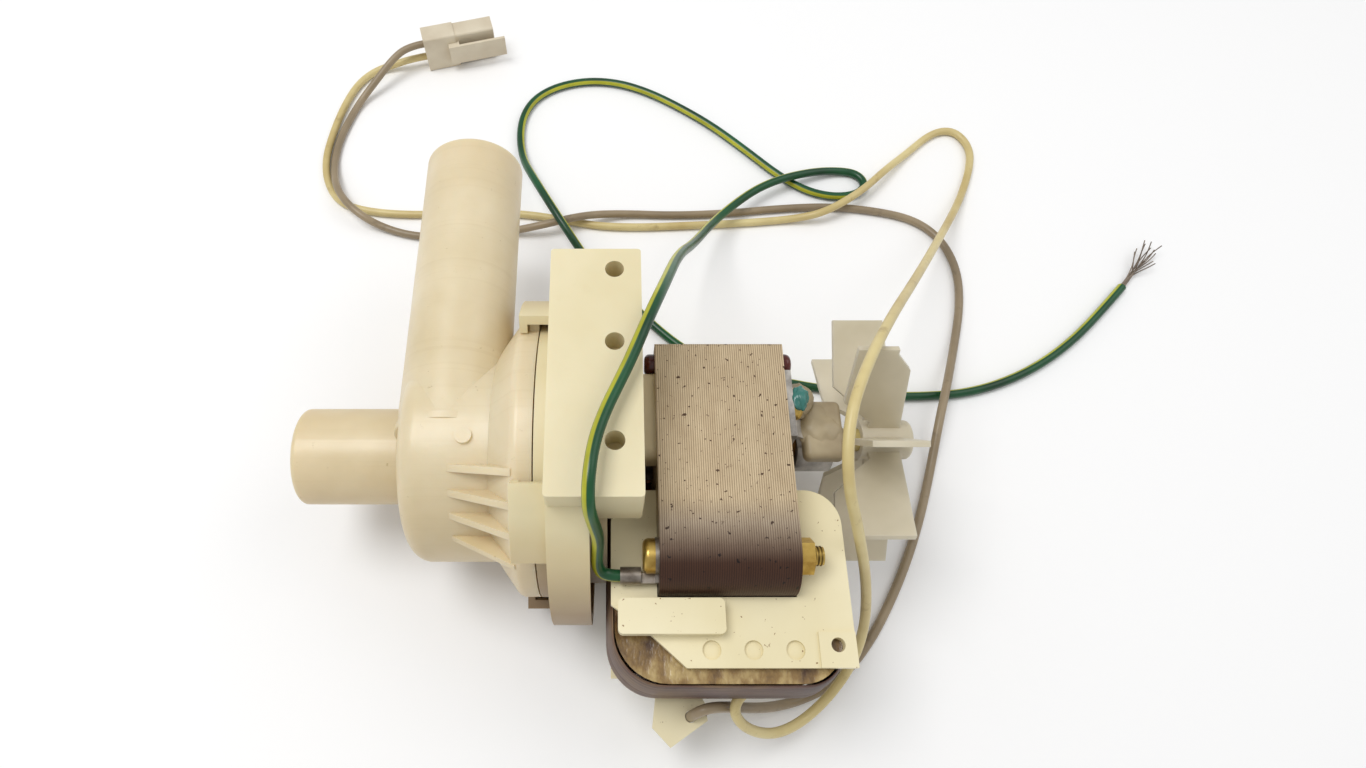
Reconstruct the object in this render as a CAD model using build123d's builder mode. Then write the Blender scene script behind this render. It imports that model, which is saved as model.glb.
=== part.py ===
from build123d import *
import math
import os

os.makedirs("parts", exist_ok=True)

# Washer drain pump: a shaded pole motor drives a small water pump through one straight shaft.
# X runs along the shaft from the inlet to the cooling fan, Z is up, and the foot face is on top.
# The origin is the middle of the footprint, at the level of the table.

# Overrun of every cutting shape past the face that it cuts
over = 1.0

# Stations along the shaft, measured from the tip of the inlet
inlet_length = 24.5
drum_length = 25.0
flare_length = 6.0
skirt_length = 4.5
plate_gap = 0.3
plate_thickness = 3.0
block_width = 20.1
rim_length = 9.0
collar_length = 12.6
arm_length = 23.7
lamination = 0.5
lamination_count = 60
fan_gap = 16.5
blade_width = 12.6
fan_hub_end = 152.5

# Heights and reaches measured from the shaft
shaft_height = 31.2
foot_height = 41.0
outlet_reach = 76.0
tab_reach = 71.5
chamber_offset = 4.5

drum_start = inlet_length
drum_end = drum_start + drum_length
skirt_start = drum_end + flare_length
skirt_end = skirt_start + skirt_length
plate_start = skirt_end + plate_gap
block_start = plate_start + plate_thickness
block_end = block_start + block_width
stack_start = block_start + arm_length
stack_length = lamination * lamination_count
stack_end = stack_start + stack_length
fan_start = stack_end + fan_gap
fan_end = fan_start + blade_width
overall = fan_hub_end
shaft_y = (tab_reach - outlet_reach) / 2
shaft_z = shaft_height
chamber_y = shaft_y - chamber_offset


def station(s):
    return s - overall / 2


def shaft_plane(s):
    return Plane(origin=(station(s), shaft_y, shaft_z), x_dir=(0, 1, 0), z_dir=(1, 0, 0))


def chamber_plane(s):
    return Plane(origin=(station(s), chamber_y, shaft_z), x_dir=(0, 1, 0), z_dir=(1, 0, 0))


def section(y):
    return Plane(origin=(station(0), y, shaft_z), x_dir=(1, 0, 0), z_dir=(0, -1, 0))


def radial_plane(y, angle):
    turn = math.radians(angle)
    normal = (0, -math.sin(turn), math.cos(turn))
    return Plane(origin=(station(0), y, shaft_z), x_dir=(1, 0, 0), z_dir=normal)


def level(height):
    return Plane(origin=(station(0), shaft_y, shaft_z + height), x_dir=(1, 0, 0), z_dir=(0, 0, 1))


shaft_axis = Axis((0, shaft_y, shaft_z), (1, 0, 0))
chamber_axis = Axis((0, chamber_y, shaft_z), (1, 0, 0))


def sector(outer, inner, middle, span):
    with BuildSketch() as made:
        with BuildLine():
            rim_arc = CenterArc((0, 0), outer, middle - span / 2, span)
            root_arc = CenterArc((0, 0), inner, middle - span / 2, span)
            Line(rim_arc @ 0, root_arc @ 0)
            Line(rim_arc @ 1, root_arc @ 1)
        make_face()
    return made.sketch_local


def tube_piece(plane, outer, inner, length):
    with BuildPart() as made:
        with BuildSketch(plane):
            Circle(outer)
            Circle(inner, mode=Mode.SUBTRACT)
        extrude(amount=length)
    return made.part


def circles_at(found, s):
    near = 0.05
    return [e for e in found.filter_by(GeomType.CIRCLE) if abs(e.center().X - station(s)) < near]


def save(part, name):
    part.label = name
    export_step(part, f"parts/{name}.step")


# Volute housing
inlet_r = 12.0
spigot_wall = 2.0
rim_round = 1.4
drum_r = 26.0
drum_round = 5.0
housing_wall = 2.4
flare_rise = 8.3
skirt_wall = 5.1
outlet_inset = 12.9
outlet_draft = 0.1
outlet_setback = 1.4
face_setback = 1.7
face_slope = 3.0
outlet_wall = 2.3
hose_seat = 26.0
rib_angles = (115.0, 127.5, 140.0, 155.0, 250.0, 265.0, 280.0, 295.0)
rib_thickness = 1.6
rib_inset = 16.0
hook_angles = (41.0, 131.0, 221.0, 311.0)
lug_span = 20.0
lug_reach = 2.2
lug_length = 2.2
floor_relief = 0.6
gate_r = 1.9
gate_height = 0.4
gate_reach = 8.7
gate_inset = 19.5
step_height = 0.4
step_width = 1.6
seal_seat = 5.6
spigot_root = 1.0
skirt_r = drum_r + flare_rise
skirt_bore = skirt_r - skirt_wall
outlet_r = drum_r - outlet_inset
outlet_tip_r = outlet_r - outlet_draft
outlet_station = drum_start + outlet_r + outlet_setback
face_start = drum_start + face_setback
outlet_rise = drum_r - outlet_r
outlet_bore = outlet_tip_r - outlet_wall
inlet_bore = inlet_r - spigot_wall
chamber_r = drum_r - housing_wall
chamber_front = face_start + housing_wall
seal_seat_start = skirt_end - seal_seat
outlet_length = chamber_offset + outlet_reach
taper_length = outlet_length - hose_seat
outlet_taper = math.degrees(math.atan((outlet_r - outlet_tip_r) / taper_length))
outlet_plane = Plane(
    origin=(station(outlet_station), chamber_y, shaft_z + outlet_rise),
    x_dir=(1, 0, 0),
    z_dir=(0, 1, 0),
)

with BuildPart() as volute_housing:
    with BuildSketch(section(chamber_y)):
        Polygon(
            (0, 0),
            (0, inlet_r),
            (face_start, inlet_r),
            (face_start + face_slope, drum_r),
            (drum_end, drum_r),
            (skirt_start, skirt_r),
            (skirt_end, skirt_r),
            (skirt_end, 0),
            align=None,
        )
        fillet(vertices().group_by(Axis.X)[0].sort_by(Axis.Y)[-1], rim_round)
    revolve(axis=chamber_axis)
    shoulder = edges().filter_by(GeomType.CIRCLE).filter_by(
        lambda e: abs(e.radius - drum_r) < step_height and e.center().X < station(drum_end) - over
    )
    fillet(shoulder, drum_round)
    flare_edge = edges().filter_by(GeomType.CIRCLE).filter_by(
        lambda e: abs(e.radius - skirt_r) < step_height and e.center().X < station(skirt_end) - over
    )
    fillet(flare_edge, drum_round / 2)
    # Moulded root of the inlet
    root_edge = edges().filter_by(GeomType.CIRCLE).filter_by(
        lambda e: abs(e.radius - inlet_r) < step_height and e.center().X > station(drum_start) - over
    )
    fillet(root_edge, spigot_root)
    with BuildSketch(outlet_plane):
        Circle(outlet_r)
    extrude(amount=taper_length, taper=outlet_taper)
    with BuildSketch(outlet_plane.offset(taper_length)):
        Circle(outlet_tip_r)
    extrude(amount=hose_seat)
    fillet(edges().group_by(Axis.Y)[-1], rim_round)
    # Low collar where the outlet leaves the drum
    with BuildSketch(outlet_plane):
        Circle(outlet_r + step_height)
    extrude(amount=step_width)
    for angle in rib_angles:
        with BuildSketch(radial_plane(chamber_y, angle)):
            Polygon(
                (drum_start + rib_inset, chamber_r),
                (drum_start + rib_inset, drum_r),
                (skirt_start, skirt_r),
                (skirt_start, chamber_r),
                align=None,
            )
        extrude(amount=rib_thickness / 2, both=True)
    for angle in hook_angles:
        with BuildSketch(chamber_plane(skirt_end - lug_length)):
            add(sector(skirt_r + lug_reach, chamber_r, angle, lug_span))
        extrude(amount=lug_length)
    # Gate nub on the face of the drum toward the viewer
    with BuildSketch(level(0)):
        with Locations((drum_start + gate_inset, -gate_reach)):
            Circle(gate_r)
    extrude(amount=drum_r + gate_height)
    # Passages for the water
    with BuildSketch(section(chamber_y)):
        Polygon(
            (-over, 0),
            (-over, inlet_bore),
            (chamber_front, inlet_bore),
            (chamber_front + face_slope, chamber_r),
            (drum_end, chamber_r),
            (seal_seat_start, skirt_bore),
            (skirt_end + over, skirt_bore),
            (skirt_end + over, 0),
            align=None,
        )
    revolve(axis=chamber_axis, mode=Mode.SUBTRACT)
    with BuildSketch(outlet_plane):
        Circle(outlet_bore)
    extrude(amount=outlet_length + over, mode=Mode.SUBTRACT)
    # The skirt is flat below, clear of the table
    with BuildSketch(Plane.XY.offset(floor_relief)):
        Rectangle(2 * overall, 2 * overall)
    extrude(amount=-overall, mode=Mode.SUBTRACT)
save(volute_housing.part, "volute_housing")

# Bracket with the foot, the bearing boss and the arms that carry the motor
plug_clearance = 0.3
groove_width = 2.7
groove_depth = 2.0
groove_inset = 1.0
hook_span = 27.0
hook_wall = 2.2
hook_lip = 1.8
hook_clearance = 0.35
rim_margin = 1.75
rim_wall = 2.4
collar_r = 31.0
collar_wall = 2.2
block_length = 57.4
block_far = 30.2
block_depth = 16.0
face_thickness = 9.0
core_depth = 9.5
block_edge_round = 0.8
screw_hole_r = 2.1
screw_hole_depth = 7.0
screw_places = (24.9, 6.9, -15.5)
screw_inset = 14.2
web_thickness = 2.4
arm_low = -12.6
arm_high = 8.8
arm_inner = 14.2
arm_outer = 22.6
arm_round = 2.5
boss_r = 9.0
bush_r = 5.5
bush_length = 10.0
boss_length = 18.0
shaft_r = 2.0
shaft_clearance = 0.6
seal_r = 7.5
seal_length = 6.5
seal_wall = 1.6
motor_screw_r = 2.0
motor_screw_y = 2.0
motor_screw_z = 18.3
pilot_clearance = 0.1
plug_r = skirt_bore - plug_clearance
plug_start = seal_seat_start + plug_clearance
hook_inner = skirt_r + hook_clearance
hook_outer = skirt_r + lug_reach + hook_clearance + hook_wall
rim_r = hook_outer + rim_margin
hook_start = skirt_end - lug_length - hook_clearance - hook_lip
rim_end = block_start + rim_length
rim_web_end = block_start + rim_wall
collar_end = block_start + collar_length
boss_end = block_start + boss_length
arm_middle = (arm_low + arm_high) / 2
block_middle = block_far - block_length / 2
core_length = (block_length - 3 * web_thickness) / 2
core_top = foot_height - face_thickness

with BuildPart() as pump_bracket:
    # Plug that closes the chamber, with the groove of its ring
    with BuildSketch(section(chamber_y)):
        Polygon(
            (plug_start, 0),
            (plug_start, plug_r),
            (plug_start + groove_inset, plug_r),
            (plug_start + groove_inset, plug_r - groove_depth),
            (plug_start + groove_inset + groove_width, plug_r - groove_depth),
            (plug_start + groove_inset + groove_width, plug_r),
            (plate_start, plug_r),
            (plate_start, skirt_r),
            (block_start, skirt_r),
            (block_start, rim_r),
            (rim_end, rim_r),
            (rim_end, rim_r - rim_wall),
            (rim_web_end, rim_r - rim_wall),
            (rim_web_end, collar_r),
            (collar_end, collar_r),
            (collar_end, collar_r - collar_wall),
            (block_start, collar_r - collar_wall),
            (block_start, 0),
            align=None,
        )
    revolve(axis=chamber_axis)
    for angle in hook_angles:
        with BuildSketch(chamber_plane(hook_start)):
            add(sector(hook_outer, hook_outer - hook_wall, angle, hook_span))
        extrude(amount=block_start - hook_start)
        with BuildSketch(chamber_plane(hook_start)):
            add(sector(hook_outer, hook_inner, angle, hook_span))
        extrude(amount=hook_lip)
    # Flat underside of the rim, which stands on the table
    split(bisect_by=Plane.XY, keep=Keep.TOP)
    with BuildSketch(Plane.XY):
        with Locations((station((block_start + rim_end) / 2), chamber_y)):
            Rectangle(rim_end - block_start, 2 * math.sqrt(rim_r**2 - shaft_height**2))
    extrude(amount=rim_wall)
    # Foot block under the mounting face, cored between its webs from the motor side
    with BuildSketch(level(foot_height)):
        with Locations((block_start + block_width / 2, block_middle)):
            RectangleRounded(block_width, block_length, block_edge_round)
    extrude(amount=-block_depth)
    with BuildSketch(shaft_plane(block_end + over)):
        for side in (1, -1):
            with Locations((block_middle + side * (core_length + web_thickness) / 2, core_top)):
                Rectangle(core_length, block_depth, align=(Align.CENTER, Align.MAX))
    extrude(amount=-core_depth - over, mode=Mode.SUBTRACT)
    with BuildSketch(level(foot_height)):
        with Locations(*[(block_start + screw_inset, place) for place in screw_places]):
            Circle(screw_hole_r)
    extrude(amount=-screw_hole_depth, mode=Mode.SUBTRACT)
    # Arms to the stack, one on each side of the bearing
    for side in (1, -1):
        with BuildSketch(shaft_plane(block_start)):
            with Locations((arm_middle, side * (arm_inner + arm_outer) / 2)):
                RectangleRounded(arm_high - arm_low, arm_outer - arm_inner, arm_round)
        extrude(amount=arm_length)
    # Bearing boss and its web
    with BuildSketch(shaft_plane(block_start)):
        Circle(boss_r)
    extrude(amount=boss_length)
    with BuildSketch(shaft_plane(block_start)):
        with Locations((0, 0)):
            Rectangle(web_thickness, 2 * arm_outer - 2 * arm_round)
    extrude(amount=boss_length)
    # Bores along the shaft
    with BuildSketch(shaft_plane(plug_start)):
        Circle(shaft_r + shaft_clearance)
    extrude(amount=boss_end - plug_start + over, mode=Mode.SUBTRACT)
    with BuildSketch(shaft_plane(plug_start - over)):
        Circle(seal_r)
    extrude(amount=seal_length + over, mode=Mode.SUBTRACT)
    with BuildSketch(shaft_plane(boss_end - bush_length)):
        Circle(bush_r)
    extrude(amount=bush_length + over, mode=Mode.SUBTRACT)
    # Tapped holes for the two motor screws
    with BuildSketch(shaft_plane(stack_start)):
        with Locations((motor_screw_y, motor_screw_z), (motor_screw_y, -motor_screw_z)):
            Circle(motor_screw_r + pilot_clearance)
    extrude(amount=-arm_length + web_thickness, mode=Mode.SUBTRACT)
save(pump_bracket.part, "pump_bracket")

# Ring that seals the housing on the plug
ring_squeeze = 0.1
housing_seal_ring = tube_piece(
    chamber_plane(plug_start + groove_inset + ring_squeeze),
    skirt_bore,
    plug_r - groove_depth + ring_squeeze,
    groove_width - 2 * ring_squeeze,
)
save(housing_seal_ring, "housing_seal_ring")

# Lip seal of the shaft
lip_clearance = 0.05
lip_length = 1.2
with BuildPart() as shaft_seal:
    with BuildSketch(section(shaft_y)):
        Polygon(
            (plug_start, seal_r),
            (plug_start, seal_r - seal_wall),
            (plug_start + lip_length, shaft_r + lip_clearance),
            (plug_start + 2 * lip_length, shaft_r + lip_clearance),
            (plug_start + 2 * lip_length, seal_r - seal_wall),
            (plug_start + seal_length - seal_wall, seal_r - seal_wall),
            (plug_start + seal_length - seal_wall, shaft_r + lip_clearance),
            (plug_start + seal_length, shaft_r + lip_clearance),
            (plug_start + seal_length, seal_r),
            align=None,
        )
    revolve(axis=shaft_axis)
save(shaft_seal.part, "shaft_seal")

# Stator stack
stack_half = 24.0
stack_top = 15.3
stack_bottom = 41.5
stack_top_round = 0.8
stack_low_round = 9.0
bore_r = 11.2
leg_width = 10.0
core_height = 10.0
window_top = 15.5
rivet_r = 2.0
rivet_y = 11.6
rivet_z = 19.6
clamp_y = -33.8
clamp_z = 18.6
clamp_r = 2.0
hole_clearance = 0.15
pole_slot_width = 2.4
pole_slot_depth = 5.0
pole_slot_angle = 38.0
leg_inner = stack_half - leg_width
core_low = stack_bottom
core_high = stack_bottom - core_height

with BuildPart() as stator_stack:
    with BuildSketch(shaft_plane(stack_start)) as stack_sketch:
        with BuildLine():
            Polyline(
                (stack_top, -stack_half),
                (stack_top, stack_half),
                (-stack_bottom, stack_half),
                (-stack_bottom, leg_inner),
                (-window_top, leg_inner),
                (-window_top, -leg_inner),
                (-stack_bottom, -leg_inner),
                (-stack_bottom, -stack_half),
                close=True,
            )
        make_face()
        low = vertices().group_by(Axis.X)[0].sort_by(Axis.Y)
        fillet([low[0], low[-1]], stack_low_round)
        fillet(vertices().group_by(Axis.X)[-1], stack_top_round)
        Circle(bore_r, mode=Mode.SUBTRACT)
        # Slots of the shading rings open into the bore
        for angle in (pole_slot_angle, 180 + pole_slot_angle):
            with Locations(Location((0, 0), angle)):
                with Locations((bore_r + pole_slot_depth / 2, 0)):
                    Rectangle(pole_slot_depth + over, pole_slot_width, mode=Mode.SUBTRACT)
        with Locations(
            (motor_screw_y, motor_screw_z), (motor_screw_y, -motor_screw_z),
            (rivet_y, rivet_z), (rivet_y, -rivet_z),
            (clamp_y, clamp_z), (clamp_y, -clamp_z),
        ):
            Circle(motor_screw_r + hole_clearance, mode=Mode.SUBTRACT)
    extrude(amount=stack_length)
save(stator_stack.part, "stator_stack")

# Bar through the bobbin that closes the magnetic path
with BuildPart() as coil_core:
    with BuildSketch(shaft_plane(stack_start)):
        with Locations((-(core_low + core_high) / 2, 0)):
            Rectangle(core_height, 2 * leg_inner)
    extrude(amount=stack_length)
save(coil_core.part, "coil_core")

# Shading rings in the slots of the two poles
ring_clearance = 0.15
ring_bar = pole_slot_width - 2 * ring_clearance
ring_overhang = 1.6
ring_depth = pole_slot_depth - 2 * ring_clearance
with BuildPart() as shading_rings:
    for angle in (pole_slot_angle, 180 + pole_slot_angle):
        slot_middle = bore_r + ring_clearance + ring_depth / 2
        turn = math.radians(angle)
        outward = (0, math.cos(turn), math.sin(turn))
        across = (0, -math.sin(turn), math.cos(turn))
        frame_plane = Plane(
            origin=(station(stack_start), shaft_y, shaft_z), x_dir=(1, 0, 0), z_dir=across
        )
        with BuildSketch(frame_plane):
            with Locations((stack_length / 2, slot_middle)):
                Rectangle(stack_length + 2 * ring_overhang, ring_depth)
        extrude(amount=ring_bar / 2, both=True)
save(shading_rings.part, "shading_rings")

# Leads: the two of the winding are alike, the earth lead is thicker
lead_r = 1.25
earth_r = 1.35
tab_hole_clearance = 0.1

# Bobbin: a tube on the bar between two flanges, with the terminal tab on the far flange
bobbin_start = 76.7
bobbin_end = 128.8
bobbin_clearance = 0.2
bobbin_wall = 1.3
flange_thickness = 1.8
flange_high = 17.6
flange_low = 56.3
flange_round = 8.0
flange_corner = 2.0
cut_length = 16.0
cut_rise = 13.0
cut_bow_share = 0.55
pad_start = 78.2
pad_end = 101.0
pad_high = 42.4
pad_low = 49.8
pad_height = 3.4
pad_round = 1.2
recess_r = 2.0
recess_depth = 0.9
recess_pitch = 8.9
recess_start = 98.1
recess_y = -52.7
recess_count = 3
ear_start = 120.9
ear_high = 49.0
ear_height = 0.6
ear_hole_r = 1.5
ear_hole_inset = 4.0
tab_points_share = (
    (0.06, -0.12), (0.06, 0.33), (0.0, 0.72), (0.32, 1.0), (1.0, 0.62), (0.96, 0.36), (0.62, -0.12),
)
tab_start = 86.4
tab_width = 13.0
tab_hole_r = lead_r + tab_hole_clearance
tab_hole_station = 95.5
tab_hole_reach = 64.8
tab_thickness = flange_thickness
bobbin_width = bobbin_end - bobbin_start
bobbin_middle = (bobbin_start + bobbin_end) / 2
stack_middle = (stack_start + stack_end) / 2
core_middle = (core_low + core_high) / 2
flange_height = flange_low - flange_high
flange_middle = -(flange_low + flange_high) / 2
tube_width = stack_length + 2 * bobbin_clearance + 2 * bobbin_wall
tube_height = core_height + 2 * bobbin_clearance + 2 * bobbin_wall
flange_face = leg_inner - bobbin_clearance
tab_length = tab_reach - flange_low
tab_points = [(tab_start + u * tab_width, -flange_low - v * tab_length) for u, v in tab_points_share]

with BuildPart() as bobbin:
    with BuildSketch(level(-flange_face)):
        with Locations((stack_middle, -core_middle)):
            Rectangle(tube_width, tube_height)
    extrude(amount=2 * flange_face)
    for height, cut in ((flange_face, True), (-flange_face + flange_thickness, False)):
        with BuildSketch(level(height)):
            with Locations((bobbin_middle, flange_middle)):
                Rectangle(bobbin_width, flange_height)
            fillet(vertices().group_by(Axis.Y)[-1], flange_round)
            if cut:
                Polygon(
                    (bobbin_start - over, -flange_low - over),
                    (bobbin_start - over, -flange_low + cut_rise),
                    (bobbin_start, -flange_low + cut_rise),
                    (bobbin_start + cut_length / 2, -flange_low + cut_rise * cut_bow_share),
                    (bobbin_start + cut_length, -flange_low),
                    (bobbin_start + cut_length, -flange_low - over),
                    align=None,
                    mode=Mode.SUBTRACT,
                )
        extrude(amount=-flange_thickness)
    # Raised pad and ear on the near flange
    with BuildSketch(level(flange_face)):
        with Locations(((pad_start + pad_end) / 2, -(pad_high + pad_low) / 2)):
            RectangleRounded(pad_end - pad_start, pad_low - pad_high, pad_round)
    extrude(amount=pad_height)
    with BuildSketch(level(flange_face)):
        with Locations(((ear_start + bobbin_end) / 2, -(ear_high + flange_low) / 2)):
            Rectangle(bobbin_end - ear_start, flange_low - ear_high)
    extrude(amount=ear_height)
    with BuildSketch(level(flange_face)):
        for i in range(recess_count):
            with Locations((recess_start + i * recess_pitch, recess_y)):
                Circle(recess_r)
    extrude(amount=-recess_depth, mode=Mode.SUBTRACT)
    with BuildSketch(level(flange_face + ear_height)):
        with Locations((ear_start + ear_hole_inset, recess_y + over)):
            Circle(ear_hole_r)
    extrude(amount=-flange_thickness - 2 * ear_height, mode=Mode.SUBTRACT)
    # Terminal tab
    with BuildSketch(level(-flange_face)):
        Polygon(*tab_points, align=None)
    extrude(amount=tab_thickness)
    with BuildSketch(level(-flange_face)):
        with Locations((tab_hole_station, -tab_hole_reach)):
            Circle(tab_hole_r)
    extrude(amount=tab_thickness, mode=Mode.SUBTRACT)
    # Opening for the bar
    with BuildSketch(level(-flange_face - over)):
        with Locations((stack_middle, -core_middle)):
            Rectangle(stack_length + 2 * bobbin_clearance, core_height + 2 * bobbin_clearance)
    extrude(amount=2 * flange_face + 2 * over, mode=Mode.SUBTRACT)
save(bobbin.part, "bobbin")

# Copper winding on the bobbin and the tape around it
winding_side = 8.0
winding_high = 18.6
winding_low = 59.3
winding_round = 5.0
winding_low_round = 8.0
winding_cut_round = 13.0
tape_thickness = 0.6
winding_width = tube_width + 2 * winding_side
winding_height = winding_low - winding_high
winding_reach = flange_face - flange_thickness
with BuildSketch() as winding_outline:
    with Locations((stack_middle, -(winding_low + winding_high) / 2)):
        Rectangle(winding_width, winding_height)
    fillet(vertices().group_by(Axis.Y)[-1], winding_round)
    fillet(vertices().group_by(Axis.Y)[0].sort_by(Axis.X)[-1], winding_low_round)
    fillet(vertices().group_by(Axis.Y)[0].sort_by(Axis.X)[0], winding_cut_round)
with BuildPart() as winding:
    with BuildSketch(level(-winding_reach)):
        add(winding_outline.sketch)
        with Locations((stack_middle, -core_middle)):
            Rectangle(tube_width, tube_height, mode=Mode.SUBTRACT)
    extrude(amount=2 * winding_reach)
save(winding.part, "winding")
with BuildPart() as tape_wrap:
    with BuildSketch(level(-winding_reach)):
        add(winding_outline.sketch)
        offset(amount=tape_thickness)
        add(winding_outline.sketch, mode=Mode.SUBTRACT)
    extrude(amount=2 * winding_reach)
save(tape_wrap.part, "tape_wrap")

# Rotor and its end rings on the shaft
air_gap = 0.35
rotor_r = bore_r - air_gap
end_ring_length = 3.0
end_ring_inset = 0.6
end_ring_bore = 6.0
shaft_start = 30.0
shaft_end = 149.0
shaft_tip = 0.5
with BuildPart() as shaft:
    with BuildSketch(shaft_plane(shaft_start)):
        Circle(shaft_r)
    extrude(amount=shaft_end - shaft_start)
    chamfer(edges().filter_by(GeomType.CIRCLE), shaft_tip)
save(shaft.part, "shaft")
rotor_core = tube_piece(shaft_plane(stack_start), rotor_r, shaft_r, stack_length)
save(rotor_core, "rotor_core")
with BuildPart() as rotor_end_rings:
    for start in (stack_start - end_ring_length, stack_end):
        with BuildSketch(shaft_plane(start)):
            Circle(rotor_r - end_ring_inset)
            Circle(end_ring_bore, mode=Mode.SUBTRACT)
        extrude(amount=end_ring_length)
save(rotor_end_rings.part, "rotor_end_rings")

# Bearing bushes, one in the bracket and one in the rear bridge
bush_clearance = 0.03
bridge_boss_start = 122.6
bridge_boss_length = 9.0
bridge_boss_r = 8.0
rear_bush_end = bridge_boss_start + bridge_boss_length
with BuildPart() as bearing_bushes:
    for start in (boss_end - bush_length, rear_bush_end - bush_length):
        with BuildSketch(shaft_plane(start)):
            Circle(bush_r)
            Circle(shaft_r + bush_clearance, mode=Mode.SUBTRACT)
        extrude(amount=bush_length)
save(bearing_bushes.part, "bearing_bushes")

# Washers that take up the end play
washer_r = 4.0
washer_thickness = 0.5
end_play = 0.15
front_washer = boss_end + end_play
rear_washer = rear_bush_end - bush_length - end_play - washer_thickness
with BuildPart() as thrust_washers:
    for start in (front_washer, rear_washer):
        with BuildSketch(shaft_plane(start)):
            Circle(washer_r)
            Circle(shaft_r, mode=Mode.SUBTRACT)
        extrude(amount=washer_thickness)
save(thrust_washers.part, "thrust_washers")

# Rear bearing bridge: two feet on the stack, two arms and the boss
foot_plate = 1.7
bridge_foot_low = -7.6
bridge_foot_high = 8.8
bridge_foot_inner = 12.2
bridge_foot_outer = 22.8
bridge_arm_width = 9.0
bridge_arm_inner = 6.0
bridge_arm_wall = 1.9
bridge_knee = 121.0
with BuildPart() as rear_bridge:
    for side in (1, -1):
        with BuildSketch(shaft_plane(stack_end)):
            with Locations((
                (bridge_foot_low + bridge_foot_high) / 2,
                side * (bridge_foot_inner + bridge_foot_outer) / 2,
            )):
                Rectangle(bridge_foot_high - bridge_foot_low, bridge_foot_outer - bridge_foot_inner)
        extrude(amount=foot_plate)
        with BuildSketch(section(shaft_y)):
            Polygon(
                (stack_end, side * bridge_foot_inner),
                (stack_end, side * (bridge_foot_inner + bridge_arm_wall)),
                (bridge_knee, side * (bridge_foot_inner + bridge_arm_wall)),
                (bridge_boss_start + bridge_boss_length, side * bridge_arm_inner),
                (bridge_boss_start, side * bridge_arm_inner),
                (bridge_knee, side * bridge_foot_inner),
                align=None,
            )
        extrude(amount=bridge_arm_width / 2, both=True)
    with BuildSketch(shaft_plane(bridge_boss_start)):
        Circle(bridge_boss_r)
    extrude(amount=bridge_boss_length)
    with BuildSketch(shaft_plane(bridge_boss_start - over)):
        Circle(shaft_r + shaft_clearance)
    extrude(amount=bridge_boss_length + 2 * over, mode=Mode.SUBTRACT)
    with BuildSketch(shaft_plane(rear_bush_end - bush_length)):
        Circle(bush_r)
    extrude(amount=bush_length + over, mode=Mode.SUBTRACT)
    with BuildSketch(shaft_plane(stack_end - over)):
        with Locations((motor_screw_y, motor_screw_z), (motor_screw_y, -motor_screw_z)):
            Circle(motor_screw_r + hole_clearance)
    extrude(amount=foot_plate + 2 * over, mode=Mode.SUBTRACT)
save(rear_bridge.part, "rear_bridge")

# Screws, nuts and rivets
screw_bite = 12.0
screw_head_r = 3.8
screw_head_height = 2.7
head_round = 1.3
nut_across = 7.0
nut_thickness = 3.2
clamp_tip = 2.3
rivet_head_r = 2.6
rivet_head_height = 2.4
ring_tongue = 0.8
with BuildPart() as motor_screws:
    for side in (1, -1):
        with BuildSketch(shaft_plane(stack_start - screw_bite)):
            with Locations((motor_screw_y, side * motor_screw_z)):
                Circle(motor_screw_r)
        extrude(amount=screw_bite + stack_length + foot_plate)
        with BuildSketch(shaft_plane(stack_end + foot_plate)):
            with Locations((motor_screw_y, side * motor_screw_z)):
                Circle(screw_head_r)
        extrude(amount=screw_head_height)
    heads = edges().filter_by(GeomType.CIRCLE).group_by(Axis.X)[-1]
    fillet(heads, head_round)
save(motor_screws.part, "motor_screws")
with BuildPart() as clamp_screws:
    for side, seat in ((1, ring_tongue), (-1, 0)):
        with BuildSketch(shaft_plane(stack_start - seat)):
            with Locations((clamp_y, side * clamp_z)):
                Circle(clamp_r)
        extrude(amount=seat + stack_length + nut_thickness + clamp_tip)
        with BuildSketch(shaft_plane(stack_start - seat)):
            with Locations((clamp_y, side * clamp_z)):
                Circle(screw_head_r)
        extrude(amount=-screw_head_height)
        fillet(circles_at(edges(), stack_start - seat - screw_head_height), head_round)
save(clamp_screws.part, "clamp_screws")
with BuildPart() as clamp_nuts:
    with BuildSketch(shaft_plane(stack_end)):
        with Locations((clamp_y, clamp_z), (clamp_y, -clamp_z)):
            RegularPolygon(nut_across / 2, 6, major_radius=False)
            Circle(clamp_r, mode=Mode.SUBTRACT)
    extrude(amount=nut_thickness)
save(clamp_nuts.part, "clamp_nuts")
with BuildPart() as stack_rivets:
    for side in (1, -1):
        with BuildSketch(shaft_plane(stack_start)):
            with Locations((rivet_y, side * rivet_z)):
                Circle(rivet_r)
        extrude(amount=stack_length)
        for end, way in ((stack_start, -1), (stack_end, 1)):
            with BuildSketch(shaft_plane(end)):
                with Locations((rivet_y, side * rivet_z)):
                    Circle(rivet_head_r)
            extrude(amount=way * rivet_head_height)
    fillet(edges().filter_by(GeomType.CIRCLE).group_by(Axis.X)[0], head_round)
    fillet(edges().filter_by(GeomType.CIRCLE).group_by(Axis.X)[-1], head_round)
save(stack_rivets.part, "stack_rivets")

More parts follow.
